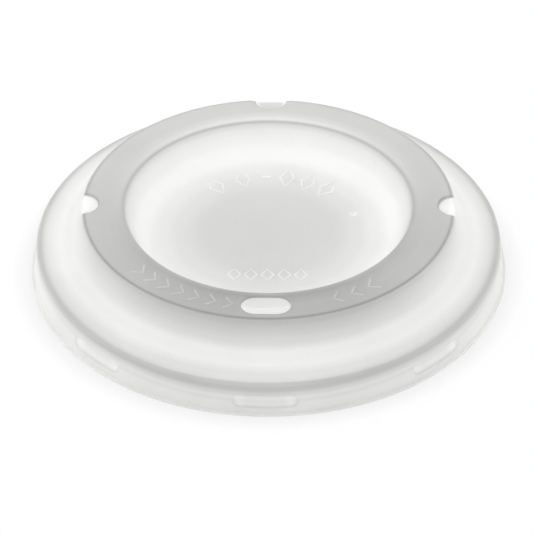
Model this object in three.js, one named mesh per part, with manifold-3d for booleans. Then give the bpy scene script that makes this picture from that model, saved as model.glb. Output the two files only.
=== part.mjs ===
// Press-on sip lid for an insulated mug, vacuum formed in one piece from thin sheet plastic.
// Millimetres, +Z up. The origin is the centre of the lid on the plane it rests on,
// and the front, where the drinker's mouth goes, faces -Y.

import * as THREE from 'three';
import { mergeVertices } from 'three/addons/utils/BufferGeometryUtils.js';
import Module from 'manifold-3d';

const wasm = await Module();
wasm.setup();

// Driving dimensions of the whole lid
const rimDiameter = 90;
const lidHeight = 14.2;
const sheetThickness = 0.5;

// Trimmed lip, skirt and the deck that seats on the mug
const lipWidth = 0.6;
const lipFillet = 0.35;
const skirtDraft = 4.6;
const deckHeight = 7.05;
const shoulderFillet = 1;

// Raised drinking ring and the cove at its foot
const ringOuterDiameter = 70.1;
const ringInnerDiameter = 54;
const ringOuterFillet = 0.5;
const ringInnerFillet = 0.65;
const outerWallDraft = 12;
const coveRadius = 5.2;

// Bowl inside the ring, with a floor that is dished towards the middle
const bowlWallDraft = 24;
const bowlFillet = 4.2;
const floorHeight = 7.2;
const floorLevelRadius = 10;
const floorSlope = 3.2;
const floorBlend = 290;

// Sip slot through the ring at the front
const slotLength = 9;
const slotWidth = 5.2;
const slotSetback = 4.4;

// Half-round notches in the ring's outer edge, at the right, the back and the left
const notchRadius = 3.15;
const notchDepth = 0.55;
const notchAzimuths = [0, 90, 180];

// Vent pinhole in the bowl floor
const ventDiameter = 0.8;
const ventDistance = 17.2;
const ventAzimuth = 20.5;

// Snap lugs, pressed inwards round the skirt, the first one at the front
const lugCount = 8;
const lugLength = 11.6;
const lugHeight = 2.4;
const lugCentreHeight = 2.7;
const lugDepth = 0.6;

// Facets of the round faces, and how far a cutting shape runs past what it cuts
const facetsAround = 64;
const arcStep = 20;
const cutterReach = 2;

// Azimuth of the front of the lid
const front = -90;

const rimRadius = rimDiameter / 2;
const ringOuterRadius = ringOuterDiameter / 2;
const ringInnerRadius = ringInnerDiameter / 2;

const radians = THREE.MathUtils.degToRad;
const slope = (degrees) => Math.tan(radians(degrees));

function corner(radius, height, fillet = 0) {
  return { at: new THREE.Vector2(radius, height), fillet };
}

function heading(from, to) {
  return to.at.clone().sub(from.at).normalize();
}

// Corners of the lid's outer face from the middle of the bowl out to the shoulder
function faceCorners() {
  const wall = slope(bowlWallDraft);
  const dish = slope(floorSlope);
  const drop = lidHeight - floorHeight + floorLevelRadius * dish;
  const bowlFoot = (ringInnerRadius - wall * drop) / (1 - wall * dish);
  const bowlFootHeight = floorHeight + (bowlFoot - floorLevelRadius) * dish;
  const coveFoot = ringOuterRadius + (lidHeight - deckHeight) * slope(outerWallDraft);
  return [
    corner(0, floorHeight),
    corner(floorLevelRadius, floorHeight, floorBlend),
    corner(bowlFoot, bowlFootHeight, bowlFillet),
    corner(ringInnerRadius, lidHeight, ringInnerFillet),
    corner(ringOuterRadius, lidHeight, ringOuterFillet),
    corner(coveFoot, deckHeight, coveRadius),
    corner(skirtRadius(deckHeight), deckHeight, shoulderFillet),
  ];
}

function skirtRadius(height) {
  return rimRadius - lipWidth - (height - sheetThickness) * slope(skirtDraft);
}

// The same corners with every wall moved into the sheet by a depth
function insetCorners(corners, depth) {
  return corners.map((here, i) => {
    const next = corners[i + 1];
    const last = corners[i - 1];
    const arriving = last ? heading(last, here) : heading(here, next);
    const leaving = next ? heading(here, next) : arriving;
    const turn = Math.sign(arriving.cross(leaving));
    const before = new THREE.Vector2(arriving.y, -arriving.x);
    const after = new THREE.Vector2(leaving.y, -leaving.x);
    const mitre = before.clone().add(after).multiplyScalar(depth / (1 + before.dot(after)));
    const fillet = here.fillet ? Math.max(here.fillet + turn * depth, 0) : 0;
    return { at: here.at.clone().add(mitre), fillet };
  });
}

// Half the turn at a corner, and how far its fillet reaches along each wall
function cornerTurn(corners, i) {
  if (!corners[i].fillet) return { half: 0, reach: 0, side: 0 };
  const arriving = heading(corners[i - 1], corners[i]);
  const leaving = heading(corners[i], corners[i + 1]);
  const half = Math.acos(THREE.MathUtils.clamp(arriving.dot(leaving), -1, 1)) / 2;
  const reach = corners[i].fillet * Math.tan(half);
  return { half, reach, side: Math.sign(arriving.cross(leaving)) };
}

// Fillets that would overlap on one wall are scaled down to share it
function filletShares(corners, turns) {
  const wallShare = (i) => {
    const length = corners[i].at.distanceTo(corners[i + 1].at);
    return Math.min(1, length / Math.max(turns[i].reach + turns[i + 1].reach, length));
  };
  return corners.map((here, i) => (here.fillet ? Math.min(wallShare(i - 1), wallShare(i)) : 1));
}

function roundedPoints(corners) {
  const turns = corners.map((here, i) => cornerTurn(corners, i));
  const shares = filletShares(corners, turns);
  return corners.flatMap((here, i) => {
    if (!here.fillet) return [here.at];
    const { half, reach, side } = turns[i];
    const arriving = heading(corners[i - 1], here);
    const radius = here.fillet * shares[i];
    const start = here.at.clone().addScaledVector(arriving, -reach * shares[i]);
    const centre = start.clone().addScaledVector(new THREE.Vector2(-arriving.y, arriving.x), side * radius);
    const steps = Math.max(2, Math.ceil((2 * half) / radians(arcStep)));
    return Array.from({ length: steps + 1 }, (unused, step) =>
      start.clone().rotateAround(centre, (side * 2 * half * step) / steps));
  });
}

// Closed solid from a geometry: one shared vertex per place, and no collapsed triangles
function solid(geometry) {
  geometry.deleteAttribute('normal');
  geometry.deleteAttribute('uv');
  const merged = mergeVertices(geometry, 1e-5);
  const triangles = [];
  for (let i = 0; i < merged.index.count; i += 3) {
    const [a, b, c] = [0, 1, 2].map((k) => merged.index.getX(i + k));
    if (a !== b && b !== c && c !== a) triangles.push(a, b, c);
  }
  return new wasm.Manifold(new wasm.Mesh({
    numProp: 3,
    vertProperties: new Float32Array(merged.attributes.position.array),
    triVerts: new Uint32Array(triangles),
  }));
}

// Turned solid from a profile that runs outwards from the axis and back to it
function turned(points) {
  const geometry = new THREE.LatheGeometry([...points].reverse(), facetsAround);
  return solid(geometry.rotateX(Math.PI / 2));
}

// Everything under the outer face when that face is moved into the sheet by a depth
function mouldBlock(depth) {
  const foot = -cutterReach;
  const corners = insetCorners([...faceCorners(), corner(skirtRadius(foot), foot)], depth);
  return turned([...roundedPoints(corners), new THREE.Vector2(0, corners.at(-1).at.y)]);
}

// The same block with the trimmed lip round its foot
function lippedBlock() {
  return turned(roundedPoints([
    ...faceCorners(),
    corner(skirtRadius(sheetThickness), sheetThickness, lipFillet),
    corner(rimRadius, sheetThickness),
    corner(rimRadius, 0),
    corner(0, 0),
  ]));
}

// Outline with two straight sides and half-round ends
function roundEnded(length, width) {
  const radius = width / 2;
  const straight = length / 2 - radius;
  const shape = new THREE.Shape();
  shape.absarc(straight, 0, radius, -Math.PI / 2, Math.PI / 2);
  shape.absarc(-straight, 0, radius, Math.PI / 2, Math.PI * 1.5);
  return shape;
}

function disc(radius) {
  const shape = new THREE.Shape();
  shape.absarc(0, 0, radius, 0, Math.PI * 2);
  return shape;
}

function extruded(shape, depth, curveSegments) {
  return new THREE.ExtrudeGeometry(shape, { depth, curveSegments, bevelEnabled: false });
}

function joined(solids) {
  return solids.reduce((all, next) => all.add(next));
}

// Vertical cutter that starts at a height and runs up, at a distance and an azimuth
function uprightCutter(shape, bottom, top, distance, azimuth, curveSegments) {
  const geometry = extruded(shape, top - bottom, curveSegments);
  geometry.translate(0, -distance, bottom);
  return solid(geometry.rotateZ(radians(azimuth - front)));
}

// Shapes that press in the snap lugs, grown all round by a margin
function lugPlugs(margin) {
  const shape = roundEnded(lugLength + 2 * margin, lugHeight + 2 * margin);
  const inner = skirtRadius(lugCentreHeight) - lugDepth - margin - cutterReach;
  return joined(Array.from({ length: lugCount }, (unused, i) => {
    const geometry = extruded(shape, rimRadius + cutterReach - inner, 3);
    geometry.rotateX(Math.PI / 2).translate(0, -inner, lugCentreHeight);
    return solid(geometry.rotateZ((i * 2 * Math.PI) / lugCount));
  }));
}

// Shapes that lower the notches, grown by a margin to the sides and downwards
function notchPlugs(margin) {
  const floor = lidHeight - notchDepth - margin;
  const shape = disc(notchRadius + margin);
  return joined(notchAzimuths.map((azimuth) =>
    uprightCutter(shape, floor, lidHeight + cutterReach, ringOuterRadius, azimuth, 12)));
}

function sipSlot() {
  const shape = roundEnded(slotLength, slotWidth);
  const bottom = lidHeight - sheetThickness - cutterReach;
  const distance = ringOuterRadius - slotSetback;
  return uprightCutter(shape, bottom, lidHeight + cutterReach, distance, front, 6);
}

function ventHole() {
  const bottom = floorHeight - sheetThickness - cutterReach;
  return uprightCutter(disc(ventDiameter / 2), bottom, lidHeight, ventDistance, ventAzimuth, 5);
}

// The outer face, less the inner face one sheet thickness away, less what is punched through
function sipLid() {
  const outside = lippedBlock()
    .subtract(lugPlugs(0).subtract(mouldBlock(lugDepth)))
    .subtract(notchPlugs(0));
  const inside = mouldBlock(sheetThickness)
    .subtract(lugPlugs(sheetThickness).subtract(mouldBlock(sheetThickness + lugDepth)))
    .subtract(notchPlugs(sheetThickness));
  return outside.subtract(inside).subtract(sipSlot()).subtract(ventHole());
}

function namedMesh(name, body, material) {
  const { vertProperties, triVerts } = body.getMesh();
  const geometry = new THREE.BufferGeometry();
  geometry.setAttribute('position', new THREE.BufferAttribute(vertProperties, 3));
  geometry.setIndex(new THREE.BufferAttribute(triVerts, 1));
  geometry.computeVertexNormals();
  const mesh = new THREE.Mesh(geometry, material);
  mesh.name = name;
  return mesh;
}

function frostedWhitePlastic() {
  return new THREE.MeshStandardMaterial({ color: 0xe9e9e8, roughness: 0.48, metalness: 0 });
}

const lid = new THREE.Group();
lid.add(namedMesh('sip_lid', sipLid(), frostedWhitePlastic()));

export default lid;
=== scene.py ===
# %% [markdown]
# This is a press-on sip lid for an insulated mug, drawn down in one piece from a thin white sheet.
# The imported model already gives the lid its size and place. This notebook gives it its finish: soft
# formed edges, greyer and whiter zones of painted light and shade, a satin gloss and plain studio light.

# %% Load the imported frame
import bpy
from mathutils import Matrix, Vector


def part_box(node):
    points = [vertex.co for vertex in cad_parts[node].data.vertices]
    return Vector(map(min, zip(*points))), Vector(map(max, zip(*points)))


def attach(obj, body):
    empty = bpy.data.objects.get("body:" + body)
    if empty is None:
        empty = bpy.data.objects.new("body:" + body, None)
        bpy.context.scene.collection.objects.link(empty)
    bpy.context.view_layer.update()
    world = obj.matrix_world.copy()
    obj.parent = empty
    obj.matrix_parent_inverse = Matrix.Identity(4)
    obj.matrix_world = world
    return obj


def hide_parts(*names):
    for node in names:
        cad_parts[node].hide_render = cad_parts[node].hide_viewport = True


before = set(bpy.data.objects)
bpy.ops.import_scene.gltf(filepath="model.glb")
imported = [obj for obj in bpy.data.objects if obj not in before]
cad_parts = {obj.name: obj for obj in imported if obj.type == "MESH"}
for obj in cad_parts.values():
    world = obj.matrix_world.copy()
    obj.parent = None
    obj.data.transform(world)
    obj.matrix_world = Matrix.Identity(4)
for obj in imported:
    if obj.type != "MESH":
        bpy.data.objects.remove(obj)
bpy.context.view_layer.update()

# %% [markdown]
# Blender counts in metres, but a lid is easier to think of in millimetres. So every size here is in
# millimetres, and is multiplied by MM where it goes into a mesh. The walls of a formed lid lean a
# little, so that it comes off its mould, and slope turns such an angle into a run per rise.

# %% Modules and units
import math

import bmesh
import bpy
from mathutils import Matrix, Vector

MM = 0.001


def slope(degrees):
    return math.tan(math.radians(degrees))


print("a wall that leans by 12 degrees runs", round(slope(12), 3), "mm for each mm of height")

# %% [markdown]
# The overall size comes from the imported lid. The rest are the sizes of its own features, in
# millimetres and degrees: the ring that the drinker's lips meet, the bowl inside it, the cove at its
# foot, the deck that seats on the mug, and the skirt with its lip.

# %% Sizes of the formed sheet
lowest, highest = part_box("sip_lid")
RIM_RADIUS = (highest[0] - lowest[0]) / 2 / MM
LID_HEIGHT = (highest[2] - lowest[2]) / MM
SHEET = 0.5
RING_OUTER = 35.05
RING_INNER = 27.0
RING_OUTER_FILLET = 0.5
RING_INNER_FILLET = 0.65
WALL_DRAFT = 12.0
COVE_RADIUS = 5.2
DECK_HEIGHT = 7.05
SHOULDER_FILLET = 1.0
SKIRT_DRAFT = 4.6
LIP_WIDTH = 0.6
LIP_FILLET = 0.35
BOWL_DRAFT = 24.0
BOWL_FILLET = 4.2
FLOOR_HEIGHT = 7.2
FLOOR_LEVEL = 10.0
FLOOR_SLOPE = 3.2
FLOOR_BLEND = 290.0
print("rim radius", round(RIM_RADIUS, 2), "mm, height", round(LID_HEIGHT, 2), "mm")

# %% [markdown]
# Before its lugs, notches and slot are made, a formed lid is the same all the way round. It could be
# sculpted or lofted, but the surest way is to draw one half of its section and to turn that. So it
# starts as a few corners in the XZ plane, and each corner carries the radius of its fillet.

# %% Corners of the profile
def skirt_radius(height):
    return RIM_RADIUS - LIP_WIDTH - (height - SHEET) * slope(SKIRT_DRAFT)


def profile_corners():
    """Radius, height and fillet of each corner, from the middle of the bowl to the lip."""
    wall, dish = slope(BOWL_DRAFT), slope(FLOOR_SLOPE)
    drop = LID_HEIGHT - FLOOR_HEIGHT + FLOOR_LEVEL * dish
    bowl_foot = (RING_INNER - wall * drop) / (1 - wall * dish)
    bowl_foot_height = FLOOR_HEIGHT + (bowl_foot - FLOOR_LEVEL) * dish
    cove_foot = RING_OUTER + (LID_HEIGHT - DECK_HEIGHT) * slope(WALL_DRAFT)
    return [
        (0, FLOOR_HEIGHT, 0),
        (FLOOR_LEVEL, FLOOR_HEIGHT, FLOOR_BLEND),
        (bowl_foot, bowl_foot_height, BOWL_FILLET),
        (RING_INNER, LID_HEIGHT, RING_INNER_FILLET),
        (RING_OUTER, LID_HEIGHT, RING_OUTER_FILLET),
        (cove_foot, DECK_HEIGHT, COVE_RADIUS),
        (skirt_radius(DECK_HEIGHT), DECK_HEIGHT, SHOULDER_FILLET),
        (skirt_radius(SHEET), SHEET, LIP_FILLET),
        (RIM_RADIUS, SHEET, 0),
    ]


corners = profile_corners()
print("corners", [(round(radius, 1), round(height, 1)) for radius, height, fillet in corners])

# %% [markdown]
# The sheet can't turn a sharp corner, so each corner of the section is a round one. A vertex bevel
# rounds a corner of a wire, and its offset is measured along the edges. A fillet at a corner that
# turns by an angle reaches its radius times the tangent of half that angle, so that is the offset.
# Long edges are then divided, so that later steps have points to move.

# %% Profile with its fillets
ARC_STEP = 8.0
FEWEST_STEPS = 3
LONGEST_EDGE = 0.55
LONGEST_FLOOR_EDGE = 2.0
PLAIN_FLOOR = 20.0


def profile_wire(corners):
    bm = bmesh.new()
    verts = [bm.verts.new((radius * MM, 0, height * MM)) for radius, height, fillet in corners]
    for first, second in zip(verts, verts[1:]):
        bm.edges.new((first, second))
    turns = []
    for last, here, coming in zip(verts, verts[1:], verts[2:]):
        turns.append((here.co - last.co).angle(coming.co - here.co))
    for vert, (radius, height, fillet), turn in zip(verts[1:-1], corners[1:-1], turns):
        steps = max(FEWEST_STEPS, round(math.degrees(turn) / ARC_STEP))
        bmesh.ops.bevel(bm, geom=[vert], offset=fillet * MM * math.tan(turn / 2), offset_type="OFFSET",
                        segments=steps, profile=0.5, affect="VERTICES", clamp_overlap=False, material=-1)
    return bm


def divide_long_edges(bm):
    for edge in list(bm.edges):
        on_floor = edge.verts[0].co.x < PLAIN_FLOOR * MM
        limit = LONGEST_FLOOR_EDGE if on_floor else LONGEST_EDGE
        cuts = math.ceil(edge.calc_length() / MM / limit) - 1
        if cuts > 0:
            bmesh.ops.subdivide_edges(bm, edges=[edge], cuts=cuts)


wire = profile_wire(corners)
divide_long_edges(wire)
print("profile points", len(wire.verts))

# %% [markdown]
# Spinning the profile once round Z gives the outer face of the sheet, as a mould's maker would turn
# it on a lathe. The number of steps is a multiple of eight, so that the eight lugs fall alike on the
# mesh. The points that meet on the axis are merged, and the faces are made to point outwards.

# %% Spin the profile
SPIN_STEPS = 208
MERGE_DISTANCE = 0.0005


def turn_outwards(bm):
    """Makes all faces point to the side that is up on the highest face."""
    bmesh.ops.recalc_face_normals(bm, faces=bm.faces[:])
    top = max(bm.faces, key=lambda face: face.calc_center_median().z)
    if top.normal.z < 0:
        bmesh.ops.reverse_faces(bm, faces=bm.faces[:])


def spun_face(bm):
    bmesh.ops.spin(bm, geom=bm.verts[:] + bm.edges[:], cent=(0, 0, 0), axis=(0, 0, 1),
                   angle=2 * math.pi, steps=SPIN_STEPS, use_merge=True, use_duplicate=False)
    bmesh.ops.remove_doubles(bm, verts=bm.verts[:], dist=MERGE_DISTANCE * MM)
    turn_outwards(bm)
    return bm


sheet = spun_face(wire)
print("spun faces", len(sheet.faces))

# %% [markdown]
# A mould presses lugs and notches into the sheet with soft walls. A boolean would cut them with hard
# edges, and sculpting wouldn't repeat them. So the mesh is made finer where a shape is pressed in,
# and its points are moved by a smooth step: nothing outside, the full depth inside.

# %% Tools for pressing a shape into the sheet
FRONT = math.radians(-90)
PRESS_CUTS = 3


def smooth_step(value):
    value = min(max(value, 0.0), 1.0)
    return value * value * (3 - 2 * value)


def azimuth_of(point):
    return math.atan2(point.y, point.x)


def nearest_turn(angle, step):
    """Angle left over after the nearest whole number of steps."""
    return angle - step * round(angle / step)


def refine(bm, wanted):
    """Divides the faces whose centre is wanted."""
    fine = [face for face in bm.faces if wanted(face.calc_center_median())]
    edges = list(dict.fromkeys(edge for face in fine for edge in face.edges))
    bmesh.ops.subdivide_edges(bm, edges=edges, cuts=PRESS_CUTS, use_grid_fill=True)


print("half way up its wall a shape is pressed in by", smooth_step(0.5), "of its depth")

# %% [markdown]
# Eight snap lugs grip the mug's rolled edge. Each is a round-ended panel, pushed inwards in the
# skirt. Every point notes how far it was pressed, and whether that was near a lug's end, because the
# material paints light on the lugs, a highlight on their ends and a shadow line below, and needs to
# know where they are.

# %% Press the snap lugs
LUG_COUNT = 8
LUG_LENGTH = 11.6
LUG_HEIGHT = 2.4
LUG_CENTRE = 2.7
LUG_DEPTH = 0.6
LUG_WALL = 0.6
LUG_MARGIN = 0.6
LUG_END_START = 3.2
LUG_END_RUN = 1.4
SKIRT_SLACK = 0.1


def from_lug(point):
    """Distances along and up from the nearest lug's centre, in millimetres."""
    turn = nearest_turn(azimuth_of(point) - FRONT, 2 * math.pi / LUG_COUNT)
    return turn * point.xy.length / MM, point.z / MM - LUG_CENTRE


def near_lug(point):
    along, up = from_lug(point)
    on_skirt = point.xy.length / MM > skirt_radius(DECK_HEIGHT) - SKIRT_SLACK
    in_length = abs(along) < LUG_LENGTH / 2 + LUG_MARGIN
    return on_skirt and in_length and abs(up) < LUG_HEIGHT / 2 + LUG_MARGIN


def press_lugs(bm):
    pressed = bm.verts.layers.float.new("pressed")
    lug_end_glint = bm.verts.layers.float.new("lug_end_glint")
    for vert in filter(lambda vert: near_lug(vert.co), bm.verts):
        along, up = from_lug(vert.co)
        end = max(abs(along) - (LUG_LENGTH - LUG_HEIGHT) / 2, 0)
        inside = LUG_HEIGHT / 2 - math.hypot(end, up)
        vert[pressed] = smooth_step(inside / LUG_WALL + 0.5)
        vert[lug_end_glint] = vert[pressed] * smooth_step((abs(along) - LUG_END_START) / LUG_END_RUN)
        vert.co.xy -= vert.co.xy.normalized() * LUG_DEPTH * vert[pressed] * MM


refine(sheet, near_lug)
press_lugs(sheet)
print("faces with lugs", len(sheet.faces))

# %% [markdown]
# Three half-round notches step the ring's edge down, at the right, the back and the left. They are
# pressed downwards in the same way. The push fades out down the wall, so the wall stays whole.

# %% Press the notches
NOTCH_RADIUS = 3.15
NOTCH_DEPTH = 0.55
NOTCH_WALL = 0.28
NOTCH_MARGIN = 0.5
NOTCH_FADE = 1.6
NOTCH_STEP = math.radians(90)


def from_notch(point):
    """Distance from the nearest notch's centre, which is endless at the front."""
    if abs(azimuth_of(point) - FRONT) < NOTCH_STEP / 2:
        return math.inf
    turn = nearest_turn(azimuth_of(point), NOTCH_STEP)
    radius = point.xy.length / MM
    return math.hypot(radius * math.cos(turn) - RING_OUTER, radius * math.sin(turn))


def near_notch(point):
    high = point.z / MM > LID_HEIGHT - NOTCH_DEPTH - NOTCH_FADE
    return high and from_notch(point) < NOTCH_RADIUS + NOTCH_MARGIN


def press_notches(bm):
    for vert in filter(lambda vert: near_notch(vert.co), bm.verts):
        inside = smooth_step((NOTCH_RADIUS - from_notch(vert.co)) / NOTCH_WALL + 0.5)
        below = LID_HEIGHT - RING_OUTER_FILLET - vert.co.z / MM
        vert.co.z -= NOTCH_DEPTH * MM * inside * smooth_step(1 - below / NOTCH_FADE)


refine(sheet, near_notch)
press_notches(sheet)
print("faces with notches", len(sheet.faces))

# %% [markdown]
# A steel punch cuts the openings after forming, so their edges are clean and lie in nearly level
# ground. A boolean would leave long thin triangles there. Here the faces over the hole are taken
# out, an outline of the hole is laid in the gap, and the level ground between the two is filled.

# %% A punch with round ends
PUNCH_MARGIN = 0.3
PUNCH_REACH = 0.4
AXIS_SLACK = 1e-4


def round_ended_loop(bm, length, width, sides, place):
    """Loop with straight sides and half-round ends, as a wire."""
    made = bmesh.ops.create_circle(bm, cap_ends=False, segments=sides, radius=width / 2 * MM)["verts"]
    half = (length - width) / 2 * MM
    for side in (-1, 1):
        end = [vert for vert in made if vert.co.x * side > AXIS_SLACK * MM]
        bmesh.ops.translate(bm, verts=end, vec=(side * half, 0, 0))
    bmesh.ops.transform(bm, matrix=place, verts=made)
    return made


def punch(bm, length, width, sides, place):
    """Opens a round-ended hole in nearly level ground."""
    back = place.inverted()

    def over(point):
        local = back @ point / MM
        end = max(abs(local.x) - (length - width) / 2, 0)
        return abs(local.z) < PUNCH_REACH and math.hypot(end, local.y) < width / 2 + PUNCH_MARGIN

    gone = [face for face in bm.faces if any(over(vert.co) for vert in face.verts)]
    edges = dict.fromkeys(edge for face in gone for edge in face.edges)
    gap = [edge for edge in edges if any(face not in gone for face in edge.link_faces)]
    bmesh.ops.delete(bm, geom=gone, context="FACES")
    loop = round_ended_loop(bm, length, width, sides, place)
    hole = list(dict.fromkeys(edge for vert in loop for edge in vert.link_edges))
    bmesh.ops.triangle_fill(bm, use_beauty=True, use_dissolve=False, edges=gap + hole, normal=(0, 0, 1))


print("a punch clears the faces within", PUNCH_MARGIN, "mm of its hole")

# %% [markdown]
# The drink comes out of the sip slot at the front of the ring, and air goes in at the vent, a
# pinhole in the bowl. The vent is smaller than the mesh round it, so the mesh is made finer there
# first. The bowl's floor rises outwards, so the vent's height is that of the nearest point.

# %% Punch the sip slot and the vent
SLOT_LENGTH = 9.0
SLOT_WIDTH = 5.2
SLOT_SETBACK = 4.4
SLOT_SIDES = 96
VENT_DIAMETER = 0.8
VENT_DISTANCE = 17.2
VENT_AZIMUTH = 20.5
VENT_SIDES = 24
VENT_GROUND = 2.2


def ground_under(bm, at):
    """A place on the nearest point of the sheet."""
    nearest = min(bm.verts, key=lambda vert: (vert.co.xy - at.xy).length_squared)
    return Matrix.Translation((at.x, at.y, nearest.co.z))


def punch_slot(bm):
    place = Matrix.Translation((0, (SLOT_SETBACK - RING_OUTER) * MM, LID_HEIGHT * MM))
    punch(bm, SLOT_LENGTH, SLOT_WIDTH, SLOT_SIDES, place)


def punch_vent(bm):
    turn = Matrix.Rotation(math.radians(VENT_AZIMUTH), 4, "Z")
    at = (turn @ Matrix.Translation((VENT_DISTANCE * MM, 0, 0))).translation
    refine(bm, lambda point: (point.xy - at.xy).length < VENT_GROUND * MM)
    punch(bm, VENT_DIAMETER, VENT_DIAMETER, VENT_SIDES, ground_under(bm, at))


punch_slot(sheet)
punch_vent(sheet)
print("edges on the rim, the slot and the vent", sum(edge.is_boundary for edge in sheet.edges))

# %% [markdown]
# The outer face now gets its wall. A second profile for the inside would need every lug and notch
# again, so solidify moves a copy of the whole face inwards by the sheet's thickness instead. Before
# that, each point notes how far out along the sheet it lies, so that both faces know it, and whether
# it lies on a cut. The cut edges stay crisp, but for a very fine bevel.

# %% Give the sheet its thickness
CUT_EDGE_BEVEL = 0.07
CUT_EDGE_STEPS = 2
SHARP_ANGLE = math.radians(55)


def outwards_of(point):
    """Distance out along the sheet: the radius, and beyond the deck's edge the way down as well."""
    return point.xy.length / MM + max(DECK_HEIGHT - point.z / MM, 0)


def thicken(bm):
    outwards = bm.verts.layers.float.new("outwards")
    on_cut = bm.verts.layers.int.new("on_cut")
    for vert in bm.verts:
        vert[outwards] = outwards_of(vert.co)
        vert[on_cut] = vert.is_boundary
    turn_outwards(bm)
    bmesh.ops.solidify(bm, geom=bm.faces[:], thickness=SHEET * MM)
    return on_cut


def round_cut_edges(bm, on_cut):
    """Breaks the sharp edges round the trimmed lip, the slot and the vent, and counts them."""
    bm.normal_update()
    sharp = [edge for edge in bm.edges if edge.calc_face_angle(0) > SHARP_ANGLE]
    sharp = [edge for edge in sharp if all(vert[on_cut] for vert in edge.verts)]
    count = len(sharp)
    bmesh.ops.bevel(bm, geom=sharp, offset=CUT_EDGE_BEVEL * MM, offset_type="OFFSET",
                    segments=CUT_EDGE_STEPS, profile=0.5, affect="EDGES", clamp_overlap=True, material=-1)
    bm.verts.layers.int.remove(on_cut)
    return count


rounded = round_cut_edges(sheet, thicken(sheet))
print("rounded cut edges", rounded)
heights = [vert.co.z / MM for vert in sheet.verts]
print("from", round(min(heights), 3), "to", round(max(heights), 3), "mm")
print("open edges", sum(len(edge.link_faces) != 2 for edge in sheet.edges))

# %% [markdown]
# A bmesh is only a workbench, so the sheet is written to a mesh that an object can show. That object
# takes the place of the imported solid, rides on its body and has its plastic. Smooth shading hides
# the facets of the turned faces, and the edges that turn sharply keep their crease.

# %% Make the lid's object
def piece_from(bm, name):
    mesh = bpy.data.meshes.new(name)
    bm.to_mesh(mesh)
    bm.free()
    mesh.shade_smooth()
    piece = bpy.data.objects.new(name, mesh)
    bpy.context.scene.collection.objects.link(piece)
    return piece


lid = piece_from(sheet, "formed_lid")
lid.data.set_sharp_from_angle(angle=SHARP_ANGLE)
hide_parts("sip_lid")
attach(lid, "root")
lid.data.calc_loop_triangles()
print("triangles", len(lid.data.loop_triangles))

# %% [markdown]
# Moulded marks stand a little proud of such a sheet. They could be pressed into the mesh like the
# lugs, but so fine a shape would need a very fine mesh. A thin rounded bead is lighter: a polyline
# with a round bevel, sunk in the sheet so that only its top shows.

# %% Beads that follow the sheet
BEAD_RADIUS = 0.3
BEAD_PROUD = 0.15
BEAD_ROUNDNESS = 3


def face_height(radius):
    """Height of the outer face at a radius on the bowl's floor or the ring, in millimetres."""
    if radius > RING_INNER:
        return LID_HEIGHT
    return FLOOR_HEIGHT + max(radius - FLOOR_LEVEL, 0) * slope(FLOOR_SLOPE)


def bead_curve(name):
    curve = bpy.data.curves.new(name, "CURVE")
    curve.dimensions = "3D"
    curve.bevel_depth = BEAD_RADIUS * MM
    curve.bevel_resolution = BEAD_ROUNDNESS
    curve.use_fill_caps = True
    return curve


def add_bead(curve, points, closed=False):
    spline = curve.splines.new("POLY")
    spline.points.add(len(points) - 1)
    for point, (x, y) in zip(spline.points, points):
        height = face_height(math.hypot(x, y)) + BEAD_PROUD - BEAD_RADIUS
        point.co = (x * MM, y * MM, height * MM, 1)
    spline.use_cyclic_u = closed


def turned_points(shape, scale, distance, azimuth):
    """A shape at a distance and an azimuth, with its X along the ring and its Y outwards."""
    turn = math.radians(azimuth)
    outward = Vector((math.cos(turn), math.sin(turn)))
    sideways = Vector((-math.sin(turn), math.cos(turn)))
    return [outward * (distance + y * scale[1]) + sideways * x * scale[0] for x, y in shape]


curve = bead_curve("raised_marks")
print("bead", 2 * BEAD_RADIUS, "mm thick, of which", BEAD_PROUD, "mm is proud")

# %% [markdown]
# The marks are plain ones: chevrons on the ring that point to the slot from both sides, and
# lozenges and a dash in the bowl. Each shape is drawn once about its own middle, and a loop sets
# copies of it round the lid.

# %% Raised marks
CHEVRON = ((-0.75, 1.5), (0.85, 0.0), (-0.75, -1.5))
LOZENGE = ((-1.0, 0.0), (0.0, 1.0), (1.0, 0.0), (0.0, -1.0))
DASH = ((-0.9, 0.0), (0.9, 0.0))
LEFT_CHEVRONS = [-138 + 5.9 * step for step in range(7)]
RIGHT_CHEVRONS = [-52 - 6.8 * step for step in range(3)]
LEFT_DISTANCE, RIGHT_DISTANCE = 31.0, 31.2
BACK_LOZENGES = (125, 107, 79, 65.5, 52)
BACK_DISTANCE, BACK_SCALE = 17.8, (1.4, 2.5)
DASH_DISTANCE, DASH_AZIMUTH = 18.0, 92
ROW_PITCH, ROW_SETBACK, ROW_SCALE = 3.1, -13.0, (1.2, 1.7)


def ring_marks(curve):
    for azimuth in LEFT_CHEVRONS:
        add_bead(curve, turned_points(CHEVRON, (1, 1), LEFT_DISTANCE, azimuth))
    for azimuth in RIGHT_CHEVRONS:
        add_bead(curve, turned_points(CHEVRON, (-1, 1), RIGHT_DISTANCE, azimuth))


def bowl_marks(curve):
    for azimuth in BACK_LOZENGES:
        add_bead(curve, turned_points(LOZENGE, BACK_SCALE, BACK_DISTANCE, azimuth), closed=True)
    for step in range(-2, 3):
        middle = ROW_PITCH * step
        row = [(middle + x * ROW_SCALE[0], ROW_SETBACK + y * ROW_SCALE[1]) for x, y in LOZENGE]
        add_bead(curve, row, closed=True)
    add_bead(curve, turned_points(DASH, (1, 1), DASH_DISTANCE, DASH_AZIMUTH))


ring_marks(curve)
bowl_marks(curve)
print("beads", len(curve.splines))

# %% [markdown]
# A curve can't carry a tone on its points, so the beads are made a mesh, with the bevel as real
# faces. Each point is noted as raised. How far out it lies is noted too, as on the sheet's points.

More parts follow.
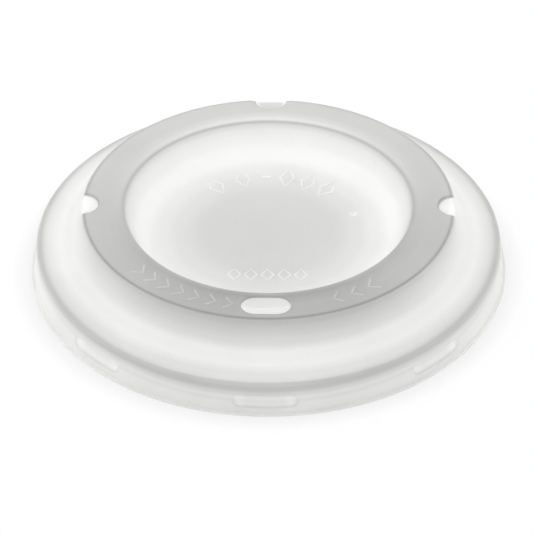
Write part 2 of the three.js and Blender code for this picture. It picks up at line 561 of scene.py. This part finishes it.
# %% Make the marks' object
def meshed(curve):
    """Mesh of a curve as Blender shows it, with its bevel."""
    carrier = bpy.data.objects.new("marks_carrier", curve)
    bpy.context.scene.collection.objects.link(carrier)
    shown = carrier.evaluated_get(bpy.context.evaluated_depsgraph_get())
    mesh = bpy.data.meshes.new_from_object(shown)
    bpy.data.objects.remove(carrier)
    return mesh


def note_on_points(mesh, name, values):
    mesh.attributes.new(name, "FLOAT", "POINT").data.foreach_set("value", values)


beads = meshed(curve)
beads.shade_smooth()
note_on_points(beads, "raised", [1.0] * len(beads.vertices))
note_on_points(beads, "outwards", [outwards_of(vert.co) for vert in beads.vertices])
marks = bpy.data.objects.new("raised_marks", beads)
bpy.context.scene.collection.objects.link(marks)
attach(marks, "root")
print("mark faces", len(beads.polygons))

# %% [markdown]
# The look of the sheet is worked out by many small nodes. Adding each one by hand takes several
# lines, so a recipe does it in one: it adds a node and sets or links its inputs in order. A span
# turns one range of numbers into another, and a ramp is a colour ramp of greys with many stops.

# %% Recipe for a material
class Recipe:
    """A new material, and short ways to add nodes to it."""

    def __init__(self, name):
        self.material = bpy.data.materials.new(name)
        self.material.use_nodes = True
        self.nodes = self.material.node_tree.nodes
        self.surface = self.nodes["Principled BSDF"]

    def feed(self, socket, value):
        if isinstance(value, bpy.types.NodeSocket):
            self.material.node_tree.links.new(value, socket)
        else:
            socket.default_value = value

    def add(self, kind, *values, **settings):
        node = self.nodes.new(kind)
        for name, value in settings.items():
            setattr(node, name, value)
        for socket, value in zip(node.inputs, values):
            self.feed(socket, value)
        return node

    def math(self, operation, first, second=0.0):
        return self.add("ShaderNodeMath", first, second, operation=operation).outputs[0]

    def plus(self, first, second):
        return self.math("ADD", first, second)

    def minus(self, first, second):
        return self.math("SUBTRACT", first, second)

    def times(self, first, second):
        return self.math("MULTIPLY", first, second)

    def span(self, value, start, end, low=0.0, high=1.0):
        return self.add("ShaderNodeMapRange", value, start, end, low, high).outputs[0]

    def noted(self, name):
        return self.add("ShaderNodeAttribute", attribute_name=name).outputs["Fac"]

    def noise(self, place, scale, detail):
        node = self.add("ShaderNodeTexNoise", place)
        node.inputs["Scale"].default_value = scale
        node.inputs["Detail"].default_value = detail
        return node.outputs["Fac"]

    def ramp(self, value, stops):
        first, last = stops[0][0], stops[-1][0]
        node = self.add("ShaderNodeValToRGB", self.span(value, first, last))
        node.color_ramp.interpolation = "EASE"
        elements = node.color_ramp.elements
        elements.remove(elements[1])
        for index, (place, tone) in enumerate(stops):
            position = (place - first) / (last - first)
            element = elements[0] if index == 0 else elements.new(position)
            element.position = position
            element.color = (tone, tone, tone, 1)
        return node.outputs[0]

    def show(self, shader):
        self.feed(self.nodes["Material Output"].inputs["Surface"], shader.outputs[0])
        print(self.material.name, "has", len(self.nodes), "nodes")

# %% [markdown]
# The tones follow the lid's own shape, so the material first needs to know where on the lid a point
# lies. Object coordinates give its place across, along and up. They stay with the lid wherever it
# is put. How far out along the sheet it lies is what each point has noted.

# %% Where a point lies on the lid
plastic = Recipe("frosted_white_sheet")
place = plastic.add("ShaderNodeTexCoord").outputs["Object"]
per_metre = (1 / MM, 1 / MM, 1 / MM)
place_mm = plastic.add("ShaderNodeVectorMath", place, per_metre, operation="MULTIPLY").outputs[0]
across, along, height = plastic.add("ShaderNodeSeparateXYZ", place_mm).outputs
outwards = plastic.noted("outwards")


def length_of(x, y):
    return plastic.math("SQRT", plastic.plus(plastic.times(x, x), plastic.times(y, y)))


print("places come from", place.node.name, "and distances out from", outwards.node.attribute_name)

# %% [markdown]
# The sheet's colour here carries painted light and shade, set by where a point lies on the formed
# shape: the ring's top and the shoulder get painted shade, the walls and the cove painted light, and
# the ring's edges a painted highlight and a fine line of painted shade. Two ramps give these zones, one
# for the bowl and one for the rest, and a third one paints more light or shade towards the back. The
# shoulder's painted shade lies lower towards the front, so there the zones are moved down by a drop.

# %% Painted light and shade of the bowl, the ring and the skirt
BOWL_TONES_AND_PAINTED_SHADE = [(0, 0.81), (12, 0.825), (17, 0.88), (20, 0.93), (23.4, 0.985), (25.0, 0.98), (25.8, 0.95),
              (26.4, 0.92), (26.8, 0.84), (27.0, 0.71), (27.2, 0.6), (27.4, 0.6), (27.65, 0.67),
              (28.2, 0.715), (31.0, 0.715)]
RIM_TONES_AND_PAINTED_SHADE = [(31.0, 0.715), (33.8, 0.715), (34.3, 0.67), (34.5, 0.53), (34.75, 0.51), (34.9, 0.68),
             (35.05, 0.86), (35.4, 0.95), (36.6, 0.945), (38.0, 0.93), (39.5, 0.95), (40.3, 0.925),
             (41.5, 0.89), (42.1, 0.85), (42.6, 0.775), (42.9, 0.685), (43.3, 0.63), (43.75, 0.65),
             (44.4, 0.775), (45.2, 0.89), (46.6, 0.97), (50.8, 0.97), (51.2, 0.92), (51.5, 0.83),
             (52.0, 0.8)]
BACK_PAINTED_LIGHT_AND_SHADE = [(26.4, 0.0), (27.0, -0.14), (27.2, -0.29), (27.4, -0.24), (27.7, 0.12), (28.2, 0.21),
              (29.4, 0.12), (31.0, 0.06), (34.3, 0.04), (34.7, 0.1), (35.2, 0.23), (36.0, 0.13),
              (37.4, -0.04), (39.5, -0.11), (41.2, -0.12), (42.6, -0.05), (44.6, 0.0), (46.0, 0.09),
              (52.0, 0.09)]
FRONT_SHADE_DROPS = [(41.5, 0.0), (42.5, 1.3), (43.65, 1.4), (44.1, 1.1), (45.1, 2.0), (48.0, 2.75),
               (52.0, 1.8)]
SHOULDER_START, SHOULDER_END = 43.6, 44.8
BAND_POWER, FADE_POWER = 2.2, 1.2

power = plastic.span(outwards, SHOULDER_START, SHOULDER_END, BAND_POWER, FADE_POWER)
frontness = plastic.math("POWER", plastic.span(along, 0.0, -RIM_RADIUS), power)
lowered = plastic.minus(outwards, plastic.times(plastic.ramp(outwards, FRONT_SHADE_DROPS), frontness))
on_rim = plastic.math("GREATER_THAN", outwards, BOWL_TONES_AND_PAINTED_SHADE[-1][0])
tone = plastic.span(on_rim, 0, 1, plastic.ramp(outwards, BOWL_TONES_AND_PAINTED_SHADE), plastic.ramp(lowered, RIM_TONES_AND_PAINTED_SHADE))
backness = plastic.math("DIVIDE", along, RING_OUTER)
tone = plastic.plus(tone, plastic.times(plastic.ramp(lowered, BACK_PAINTED_LIGHT_AND_SHADE), backness))
print("ramp stops", len(BOWL_TONES_AND_PAINTED_SHADE), len(RIM_TONES_AND_PAINTED_SHADE), len(BACK_PAINTED_LIGHT_AND_SHADE), len(FRONT_SHADE_DROPS))

# %% [markdown]
# The ring's flat top is a shade greyer near the slot. Painting the shade on would need a picture, so
# a ramp picks out the top, and a span along the lid brings the shade in.

# %% Shade at the front of the ring
RING_TOP = [(27.3, 0), (27.6, 1), (34.3, 1), (34.6, 0)]
SHADE_START, SHADE_END = -22.0, -32.0
FRONT_SHADE = 0.035

shade = plastic.span(along, SHADE_START, SHADE_END, 0.0, FRONT_SHADE)
tone = plastic.minus(tone, plastic.times(plastic.ramp(outwards, RING_TOP), shade))
print("the front of the ring is darker by up to", FRONT_SHADE)

# %% [markdown]
# The notches get painted light, so that they are nearly white, with a painted highlight near their
# wall and a floor lit brighter at the sides than at the back, and a fine line of painted shade runs round
# their edge. Each point's distance from the edge of the nearest notch decides between the two. It is
# measured to the notches at the sides and to the one at the back, and the smaller distance counts.

# %% Painted light and shade of the snap notches
NOTCH_WALL_HIGHLIGHT = 0.985
NOTCH_LIT_FLOOR_SIDE, NOTCH_LIT_FLOOR_BACK = 0.97, 0.8
NOTCH_INSIDE = (-0.04, -0.22)
NOTCH_WALL_FOOT = (-0.75, -0.45)
NOTCH_SHADE_LINE = [(-0.25, 0), (0.0, 0.15), (0.28, 0)]
NOTCH_LOWEST, NOTCH_FULL = LID_HEIGHT - 2.2, LID_HEIGHT - 1.2

beside = length_of(plastic.minus(plastic.math("ABSOLUTE", across), RING_OUTER), along)
behind = length_of(across, plastic.minus(along, RING_OUTER))
from_edge = plastic.minus(plastic.math("MINIMUM", beside, behind), NOTCH_RADIUS)
near_top = plastic.span(height, NOTCH_LOWEST, NOTCH_FULL)
in_notch = plastic.times(plastic.span(from_edge, *NOTCH_INSIDE), near_top)
notch_shade_line = plastic.times(plastic.ramp(from_edge, NOTCH_SHADE_LINE), near_top)
notch_floor_light = plastic.span(along, 0.0, RING_OUTER, NOTCH_LIT_FLOOR_SIDE, NOTCH_LIT_FLOOR_BACK)
notch_painted_light = plastic.span(from_edge, *NOTCH_WALL_FOOT, notch_floor_light, NOTCH_WALL_HIGHLIGHT)
tone = plastic.span(in_notch, 0, 1, plastic.minus(tone, notch_shade_line), notch_painted_light)
print("notch edge", NOTCH_RADIUS, "mm from its middle")

# %% [markdown]
# The lugs get painted light, so that they are a little whiter than the skirt, and their round ends a
# painted highlight. A line of painted shadow marks their wall, mostly on the lower side. All three come
# from what the points noted when they were pressed.

# %% Painted light and shadow of the snap lugs
LUG_PAINTED_LIGHT = 0.035
LUG_END_HIGHLIGHT = 0.045
LUG_SHADOW_LINE = [(0.0, 0), (0.3, 0.11), (1.0, 0)]
LUG_SHADOW_SPREAD = 0.9
LUG_SHADOW_ABOVE = 0.1

pressed = plastic.noted("pressed")
shadow_start, shadow_end = LUG_CENTRE + LUG_SHADOW_SPREAD, LUG_CENTRE - LUG_SHADOW_SPREAD
shadow_side = plastic.span(height, shadow_start, shadow_end, LUG_SHADOW_ABOVE, 1.0)
tone = plastic.plus(tone, plastic.times(pressed, LUG_PAINTED_LIGHT))
tone = plastic.plus(tone, plastic.times(plastic.noted("lug_end_glint"), LUG_END_HIGHLIGHT))
tone = plastic.minus(tone, plastic.times(shadow_side, plastic.ramp(pressed, LUG_SHADOW_LINE)))
print("lug line strongest below", round(shadow_end, 1), "mm")

# %% [markdown]
# The vent is so small that it shows as a white dot, so painted light makes the sheet round it white,
# and painted light makes the raised marks paler than the sheet. A faint cloud of noise then breaks up
# the even tones, as no formed sheet is perfectly even. Last, the tone is kept below full white, because
# a surface that gives back all its light looks unreal.

# %% Painted light of the vent and the marks, and the clouds
VENT_PAINTED_LIGHT = 0.985
VENT_HALO = 0.75
VENT_HALO_EDGE = 0.1
MARK_PAINTED_LIGHT = 0.16
CLOUD_SCALE = 90
CLOUD_DETAIL = 3
CLOUD_RANGE = (0.3, 0.7)
CLOUD = 0.02
WHITEST = 0.995

vent_x = VENT_DISTANCE * math.cos(math.radians(VENT_AZIMUTH))
vent_y = VENT_DISTANCE * math.sin(math.radians(VENT_AZIMUTH))
from_vent = length_of(plastic.minus(across, vent_x), plastic.minus(along, vent_y))
tone = plastic.span(from_vent, VENT_HALO - VENT_HALO_EDGE, VENT_HALO, VENT_PAINTED_LIGHT, tone)
tone = plastic.plus(tone, plastic.times(plastic.noted("raised"), MARK_PAINTED_LIGHT))
cloud = plastic.noise(place, CLOUD_SCALE, CLOUD_DETAIL)
tone = plastic.plus(tone, plastic.span(cloud, *CLOUD_RANGE, -CLOUD / 2, CLOUD / 2))
tone = plastic.math("MINIMUM", tone, WHITEST)
print("vent at", round(vent_x, 2), round(vent_y, 2), "mm")

# %% [markdown]
# The plastic is milky: some of the light bounces off its satin skin, and the rest goes in and comes
# out on either side. Subsurface scattering would be slow and noisy in so thin a wall, so a satin
# surface is mixed with a translucent one. A mould with a fine blasted face leaves a grain that is
# too fine to see but that blurs each reflection, and the cloud makes the sheen vary a little.

# %% Satin and translucent halves of the plastic
SHEET_GLOW = 0.65
GRAINS_PER_MM = 3.0
GRAIN_DETAIL = 2
GRAIN_STRENGTH = 0.25
GRAIN_DEPTH = 0.02
SATIN = (0.36, 0.46)
BLUE_SHARE = 0.995

grain = plastic.add("ShaderNodeBump")
grain.inputs["Strength"].default_value = GRAIN_STRENGTH
grain.inputs["Distance"].default_value = GRAIN_DEPTH * MM
plastic.feed(grain.inputs["Height"], plastic.noise(place_mm, GRAINS_PER_MM, GRAIN_DETAIL))
white = plastic.add("ShaderNodeCombineColor", tone, tone, plastic.times(tone, BLUE_SHARE)).outputs[0]
plastic.feed(plastic.surface.inputs["Normal"], grain.outputs["Normal"])
plastic.feed(plastic.surface.inputs["Roughness"], plastic.span(cloud, *CLOUD_RANGE, *SATIN))
plastic.feed(plastic.surface.inputs["Base Color"], white)
through = plastic.add("ShaderNodeBsdfTranslucent", white)
milky = plastic.add("ShaderNodeMixShader", SHEET_GLOW, plastic.surface.outputs[0], through.outputs[0])
plastic.show(milky)
lid.data.materials.append(plastic.material)
marks.data.materials.append(plastic.material)

# %% [markdown]
# The lid lies on a white sweep of paper that runs out of the picture. One large flat face is enough
# for it.

# %% Floor
FLOOR_SIZE = 4.0

floor_bm = bmesh.new()
bmesh.ops.create_grid(floor_bm, x_segments=1, y_segments=1, size=FLOOR_SIZE / 2)
floor = piece_from(floor_bm, "floor")
print("floor", FLOOR_SIZE, "m wide")

# %% [markdown]
# To everything but the camera the floor is matt white paper, which lights the lid from below as real
# paper does. To the camera it is nearly pure white: a fixed level with a painted shadow that lowers it
# softly near the lip, where a lid that lies flat keeps the light out, and a trace of real shadow. Seen
# from below it is clear, so the lid's underside can be looked at.

# %% Paper of the floor
PAPER_WHITE = 0.96
PAPER_SHADE = 0.14
UNDER_LID, PAPER_SHADOW_UNDER = 43.5, 0.77
AT_LIP, PAPER_SHADOW_AT_LIP = 45.0, 0.73
IN_THE_OPEN, PAPER_LEVEL_OPEN = 49.0, 0.815

paper = Recipe("white_paper")
paper.surface.inputs["Base Color"].default_value = (PAPER_WHITE, PAPER_WHITE, PAPER_WHITE, 1)
paper.surface.inputs["Roughness"].default_value = 1.0
paper.surface.inputs["Specular IOR Level"].default_value = 0.0
spot = paper.add("ShaderNodeTexCoord").outputs["Object"]
reach = paper.add("ShaderNodeVectorMath", spot, operation="LENGTH").outputs["Value"]
beyond_lip = paper.span(reach, AT_LIP * MM, IN_THE_OPEN * MM, PAPER_SHADOW_AT_LIP, PAPER_LEVEL_OPEN)
level = paper.span(reach, UNDER_LID * MM, AT_LIP * MM, PAPER_SHADOW_UNDER, beyond_lip)
glow = paper.add("ShaderNodeEmission", (1, 1, 1, 1), level)
shadowed = paper.add("ShaderNodeBsdfDiffuse", (PAPER_SHADE, PAPER_SHADE, PAPER_SHADE, 1))
seen = paper.add("ShaderNodeAddShader", glow.outputs[0], shadowed.outputs[0])
by_camera = paper.add("ShaderNodeLightPath").outputs["Is Camera Ray"]
above = paper.add("ShaderNodeMixShader", by_camera, paper.surface.outputs[0], seen.outputs[0])
from_below = paper.add("ShaderNodeNewGeometry").outputs["Backfacing"]
clear = paper.add("ShaderNodeBsdfTransparent")
paper.show(paper.add("ShaderNodeMixShader", from_below, above.outputs[0], clear.outputs[0]))
floor.data.materials.append(paper.material)

# %% [markdown]
# The photo's light has no hard highlight and hardly any shadow, as inside a white tent. Many lamps
# could make that, but an even white world does it at once. One large weak softbox on the left makes
# the left walls a little lighter.

# %% Light
TENT_LEVEL = 1.35
SOFTBOX_PLACE = (-0.6, -0.1, 0.35)
SOFTBOX_SIZE = (0.6, 0.4)
SOFTBOX_WATTS = 0.5


def white_tent():
    world = bpy.data.worlds.new("studio")
    bpy.context.scene.world = world
    world.use_nodes = True
    background = world.node_tree.nodes["Background"]
    background.inputs["Color"].default_value = (1, 1, 1, 1)
    background.inputs["Strength"].default_value = TENT_LEVEL


def softbox(name, place, size, watts):
    """Rectangular lamp that faces the lid."""
    light = bpy.data.lights.new(name, "AREA")
    light.shape = "RECTANGLE"
    light.size, light.size_y = size
    light.energy = watts
    lamp = bpy.data.objects.new(name, light)
    lamp.location = place
    lamp.rotation_euler = (-Vector(place)).to_track_quat("-Z", "Y").to_euler()
    bpy.context.scene.collection.objects.link(lamp)


white_tent()
softbox("left_softbox", SOFTBOX_PLACE, SOFTBOX_SIZE, SOFTBOX_WATTS)
print("lamps", len(bpy.data.lights))

# %% [markdown]
# The camera stands where the photo's was: a pinhole fitted to the lip, the shoulder and the ring,
# about half a metre off, with a long lens, looking down at 37 degrees from the drinker's side. Its
# view matrix is a chain of plain steps: roll, tilt, move and turn.

# %% Camera
PHOTO_WIDTH = 533
FOCAL_PIXELS = 2914
SENSOR_WIDTH = 36
CAMERA_PLACE = (-0.4, -442.1, 337.3)
CAMERA_ELEVATION = 37.39
CAMERA_ROLL = -0.25
LID_TURN = 1.0


def photo_camera():
    camera_data = bpy.data.cameras.new("photo_camera")
    camera_data.sensor_width = SENSOR_WIDTH
    camera_data.lens = FOCAL_PIXELS / PHOTO_WIDTH * SENSOR_WIDTH
    camera = bpy.data.objects.new("photo_camera", camera_data)
    bpy.context.scene.collection.objects.link(camera)
    turn = Matrix.Rotation(math.radians(LID_TURN), 4, "Z")
    place = Matrix.Translation(Vector(CAMERA_PLACE) * MM)
    tilt = Matrix.Rotation(math.radians(90 - CAMERA_ELEVATION), 4, "X")
    roll = Matrix.Rotation(math.radians(CAMERA_ROLL), 4, "Z")
    camera.matrix_world = turn @ place @ tilt @ roll
    return camera


bpy.context.scene.camera = photo_camera()
bpy.context.scene.view_settings.view_transform = "Standard"
print("lens", round(bpy.context.scene.camera.data.lens, 1), "mm")
